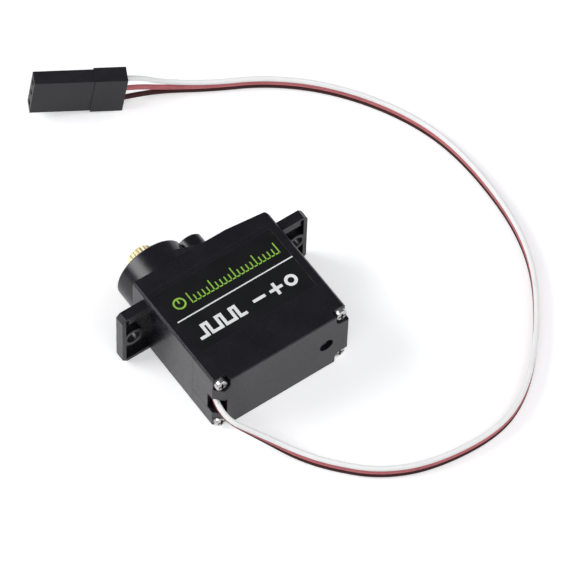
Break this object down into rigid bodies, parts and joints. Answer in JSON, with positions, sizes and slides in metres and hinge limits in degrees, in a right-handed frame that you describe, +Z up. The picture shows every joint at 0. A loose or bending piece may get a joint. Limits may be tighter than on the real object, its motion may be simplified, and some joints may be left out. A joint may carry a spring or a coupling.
{
  "type": "servo motor",
  "caption": "Micro servo with a black three-part case, two mounting ears, metal gears, a brass splined output and a three-wire lead ending in a plug.",
  "frame": {"origin": "on the resting face, under the middle of the case's length and of the span from the cap's end to the spline's end", "axes": "+X along the case from the output shaft's end to the motor's end, +Y along the output shaft towards its spline, +Z up out of the labelled side"},
  "size_m": [0.0618, 0.0859, 0.012],
  "materials": {
    "case_plastic": "moulded",
    "label_film": "satin film",
    "screw_steel": "bright",
    "gear_brass": "machined",
    "bush_brass": "turned",
    "pin_steel": "ground",
    "can_steel": "drawn",
    "inner_plastic": "moulded",
    "contact_metal": "stamped",
    "magnet": "sintered",
    "core_steel": "stacked sheet",
    "winding_wire": "enamelled",
    "board_plate": "coated",
    "carbon_track": "printed",
    "rotor_plastic": "moulded",
    "chip_plastic": "moulded",
    "capacitor_ceramic": "fired",
    "black_wire": "extruded",
    "red_wire": "extruded",
    "white_wire": "extruded",
    "plug_plastic": "moulded"
  },
  "bodies": {
    "case": {"gear_case": "case_plastic", "middle_case": "case_plastic", "bottom_cap": "case_plastic", "label": "label_film", "case_screws": "screw_steel", "output_bush": "bush_brass", "gear_pin": "pin_steel", "motor_can": "can_steel", "motor_end_cap": "inner_plastic", "motor_brushes": "contact_metal", "motor_magnets": "magnet", "sensor_body": "inner_plastic", "sensor_plate": "board_plate", "sensor_track": "carbon_track", "sensor_pins": "contact_metal", "circuit_board": "board_plate", "control_chip": "chip_plastic", "chip_pins": "contact_metal", "capacitors": "capacitor_ceramic", "resistors": "chip_plastic", "lead_tabs": "contact_metal", "black_lead": "black_wire", "red_lead": "red_wire", "white_lead": "white_wire", "plug_housing": "plug_plastic", "plug_contacts": "contact_metal"},
    "output": {"output_gear": "gear_brass", "sensor_rotor": "rotor_plastic", "sensor_wiper": "contact_metal"},
    "middle_wheel_3": {"gear_3": "gear_brass"},
    "middle_wheel_2": {"gear_2": "gear_brass"},
    "middle_wheel_1": {"gear_1": "gear_brass"},
    "rotor": {"armature_core": "core_steel", "armature_windings": "winding_wire", "commutator": "contact_metal", "motor_shaft": "pin_steel", "motor_pinion": "gear_brass"}
  },
  "joints": [
    {"name": "output_turn", "type": "hinge", "parent": "case", "child": "output", "pos_m": [-0.0059, 0.0055, 0.006], "axis": [0, 1, 0], "range_deg": [-90, 90]},
    {"name": "gear_3_turn", "type": "hinge", "parent": "case", "child": "middle_wheel_3", "pos_m": [0.0007, 0.0055, 0.006], "axis": [0, 1, 0], "range_deg": [-195, 195]},
    {"name": "gear_2_turn", "type": "hinge", "parent": "case", "child": "middle_wheel_2", "pos_m": [-0.0059, 0.0055, 0.006], "axis": [0, 1, 0], "range_deg": [-415, 415]},
    {"name": "gear_1_turn", "type": "hinge", "parent": "case", "child": "middle_wheel_1", "pos_m": [0.0007, 0.0055, 0.006], "axis": [0, 1, 0], "range_deg": [-890, 890]},
    {"name": "rotor_turn", "type": "hinge", "parent": "case", "child": "rotor", "pos_m": [0.0056, 0.0055, 0.006], "axis": [0, 1, 0], "range_deg": [-3940, 3940]}
  ],
  "couplings": [
    {"joint": "gear_3_turn", "follows": "output_turn", "ratio": -2.1429},
    {"joint": "gear_2_turn", "follows": "output_turn", "ratio": 4.5918},
    {"joint": "gear_1_turn", "follows": "output_turn", "ratio": -9.8397},
    {"joint": "rotor_turn", "follows": "output_turn", "ratio": 43.732}
  ]
}
